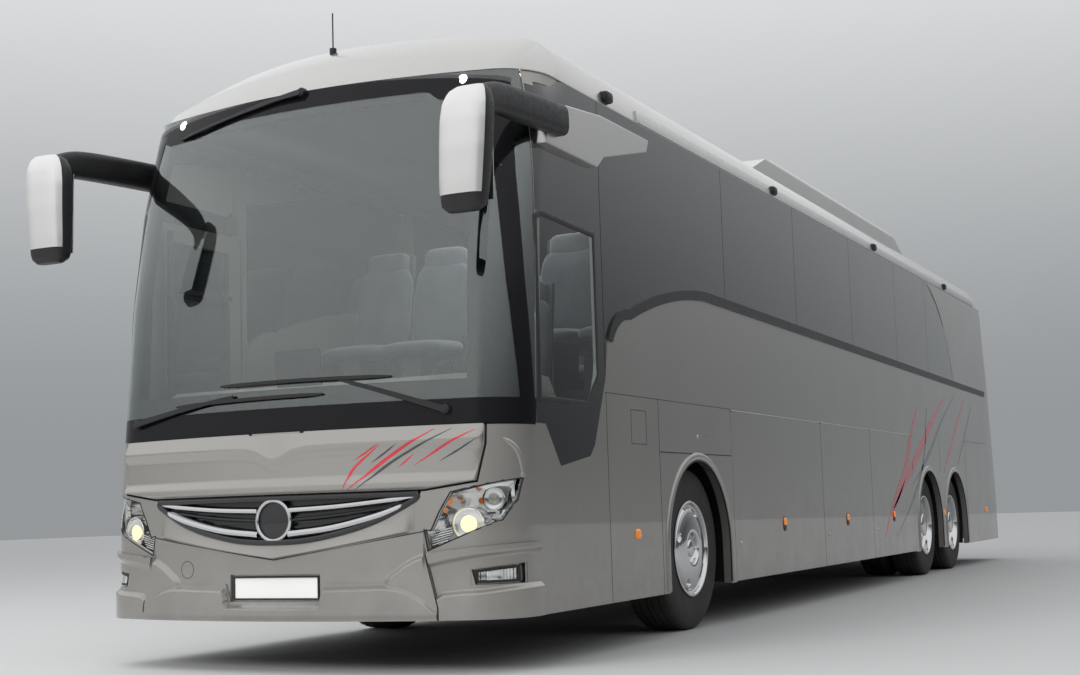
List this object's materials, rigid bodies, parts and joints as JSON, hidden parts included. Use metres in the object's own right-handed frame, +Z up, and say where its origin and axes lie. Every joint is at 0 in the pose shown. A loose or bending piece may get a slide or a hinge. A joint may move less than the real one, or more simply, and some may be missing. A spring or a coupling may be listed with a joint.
{
  "type": "touring coach bus",
  "caption": "Three-axle high-deck touring coach with luggage flaps, two swing-out doors, steered front wheels and blank plates.",
  "frame": {"origin": "on the ground, under the middle of the box around the coach and its mirrors", "axes": "+X to the coach's left, -Y to its front, +Z up"},
  "size_m": [2.868, 14.245, 3.68],
  "materials": {
    "body_paint": "satin",
    "roof_paint": "satin",
    "tinted_glass": "polished",
    "clear_glass": "polished",
    "black_plastic": "matte",
    "cab_plastic": "matte",
    "chassis_steel": "satin",
    "cast_iron": "matte",
    "floor_plywood": "matte",
    "grille_chrome": "polished",
    "lamp_chrome": "polished",
    "plate_aluminium": "satin",
    "seat_fabric": "matte",
    "lamp_red": "polished",
    "tyre_rubber": "matte",
    "rim_chrome": "polished"
  },
  "bodies": {
    "coach": {"ac_unit": "roof_paint", "dashboard": "cab_plastic", "drive_axle": "chassis_steel", "engine_block": "cast_iron", "floor_deck": "floor_plywood", "front_axle": "chassis_steel", "front_bumper": "body_paint", "front_mask": "body_paint", "grille": "grille_chrome", "headlamp_lenses": "clear_glass", "headlamps": "lamp_chrome", "mirrors": "roof_paint", "number_plates": "plate_aluminium", "rear_bumper": "body_paint", "rear_wall": "body_paint", "rear_window": "tinted_glass", "roof": "roof_paint", "roof_hatches": "cab_plastic", "roof_rails": "roof_paint", "seats": "seat_fabric", "side_glass_left": "tinted_glass", "side_glass_right": "tinted_glass", "side_mouldings": "black_plastic", "side_wall_left": "body_paint", "side_wall_right": "body_paint", "steering_wheel": "cab_plastic", "tag_axle": "chassis_steel", "tail_lamps": "lamp_red", "underframe": "chassis_steel", "wheel_housings": "black_plastic", "windscreen": "clear_glass", "windscreen_frame": "black_plastic", "wipers": "black_plastic"},
    "front_flap": {"front_flap": "body_paint"},
    "engine_flap": {"engine_flap": "body_paint"},
    "luggage_left_1": {"luggage_flap_left_1": "body_paint"},
    "luggage_left_2": {"luggage_flap_left_2": "body_paint"},
    "luggage_left_3": {"luggage_flap_left_3": "body_paint"},
    "luggage_right_1": {"luggage_flap_right_1": "body_paint"},
    "luggage_right_2": {"luggage_flap_right_2": "body_paint"},
    "front_door_arm": {"door_arm_front": "chassis_steel"},
    "front_door_leaf": {"door_front": "body_paint", "door_glass_front": "tinted_glass"},
    "mid_door_arm": {"door_arm_mid": "chassis_steel"},
    "mid_door_leaf": {"door_mid": "body_paint", "door_glass_mid": "tinted_glass"},
    "steer_left": {"knuckle_left": "chassis_steel"},
    "steer_right": {"knuckle_right": "chassis_steel"},
    "wheel_front_left": {"tyre_front_left": "tyre_rubber", "rim_front_left": "rim_chrome"},
    "wheel_front_right": {"tyre_front_right": "tyre_rubber", "rim_front_right": "rim_chrome"},
    "wheel_drive_left": {"tyre_drive_left": "tyre_rubber", "rim_drive_left": "rim_chrome"},
    "wheel_drive_right": {"tyre_drive_right": "tyre_rubber", "rim_drive_right": "rim_chrome"},
    "wheel_tag_left": {"tyre_tag_left": "tyre_rubber", "rim_tag_left": "rim_chrome"},
    "wheel_tag_right": {"tyre_tag_right": "tyre_rubber", "rim_tag_right": "rim_chrome"}
  },
  "joints": [
    {"name": "front_flap_hinge", "type": "hinge", "parent": "coach", "child": "front_flap", "pos_m": [0, -6.77901, 1.218], "axis": [-1, 0, 0], "range_deg": [0, 80]},
    {"name": "engine_flap_hinge", "type": "hinge", "parent": "coach", "child": "engine_flap", "pos_m": [0, 7.02204, 1.574], "axis": [1, 0, 0], "range_deg": [0, 75]},
    {"name": "luggage_left_1_hinge", "type": "hinge", "parent": "coach", "child": "luggage_left_1", "pos_m": [1.275, -2.2045, 1.423], "axis": [0, -1, 0], "range_deg": [0, 95]},
    {"name": "luggage_left_2_hinge", "type": "hinge", "parent": "coach", "child": "luggage_left_2", "pos_m": [1.275, -0.2985, 1.423], "axis": [0, -1, 0], "range_deg": [0, 95]},
    {"name": "luggage_left_3_hinge", "type": "hinge", "parent": "coach", "child": "luggage_left_3", "pos_m": [1.275, 1.337, 1.423], "axis": [0, -1, 0], "range_deg": [0, 95]},
    {"name": "luggage_right_1_hinge", "type": "hinge", "parent": "coach", "child": "luggage_right_1", "pos_m": [-1.275, -2.3615, 1.423], "axis": [0, 1, 0], "range_deg": [0, 95]},
    {"name": "luggage_right_2_hinge", "type": "hinge", "parent": "coach", "child": "luggage_right_2", "pos_m": [-1.275, -0.4875, 1.423], "axis": [0, 1, 0], "range_deg": [0, 95]},
    {"name": "front_door_swing", "type": "hinge", "parent": "coach", "child": "front_door_arm", "pos_m": [-1.19, -6.1615, 0.7], "axis": [0, 0, 1], "range_deg": [0, 100]},
    {"name": "front_door_follow", "type": "hinge", "parent": "front_door_arm", "child": "front_door_leaf", "pos_m": [-1.19, -5.6015, 0.7], "axis": [0, 0, 1], "range_deg": [-100, 0]},
    {"name": "mid_door_swing", "type": "hinge", "parent": "coach", "child": "mid_door_arm", "pos_m": [-1.19, 1.3325, 0.7], "axis": [0, 0, -1], "range_deg": [0, 100]},
    {"name": "mid_door_follow", "type": "hinge", "parent": "mid_door_arm", "child": "mid_door_leaf", "pos_m": [-1.19, 0.7725, 0.7], "axis": [0, 0, -1], "range_deg": [-100, 0]},
    {"name": "steer_left", "type": "hinge", "parent": "coach", "child": "steer_left", "pos_m": [0.905, -3.9775, 0.512], "axis": [0, 0, 1], "range_deg": [-40, 40]},
    {"name": "steer_right", "type": "hinge", "parent": "coach", "child": "steer_right", "pos_m": [-0.905, -3.9775, 0.512], "axis": [0, 0, 1], "range_deg": [-40, 40]},
    {"name": "roll_front_left", "type": "hinge", "parent": "steer_left", "child": "wheel_front_left", "pos_m": [1.06, -3.9775, 0.512], "axis": [1, 0, 0], "continuous": true},
    {"name": "roll_front_right", "type": "hinge", "parent": "steer_right", "child": "wheel_front_right", "pos_m": [-1.06, -3.9775, 0.512], "axis": [1, 0, 0], "continuous": true},
    {"name": "roll_drive_left", "type": "hinge", "parent": "coach", "child": "wheel_drive_left", "pos_m": [1.06, 2.9325, 0.512], "axis": [1, 0, 0], "continuous": true},
    {"name": "roll_drive_right", "type": "hinge", "parent": "coach", "child": "wheel_drive_right", "pos_m": [-1.06, 2.9325, 0.512], "axis": [1, 0, 0], "continuous": true},
    {"name": "roll_tag_left", "type": "hinge", "parent": "coach", "child": "wheel_tag_left", "pos_m": [1.06, 4.2825, 0.512], "axis": [1, 0, 0], "continuous": true},
    {"name": "roll_tag_right", "type": "hinge", "parent": "coach", "child": "wheel_tag_right", "pos_m": [-1.06, 4.2825, 0.512], "axis": [1, 0, 0], "continuous": true}
  ],
  "couplings": [
    {"joint": "front_door_follow", "follows": "front_door_swing", "ratio": -1},
    {"joint": "mid_door_follow", "follows": "mid_door_swing", "ratio": -1},
    {"joint": "steer_right", "follows": "steer_left", "ratio": 1}
  ]
}
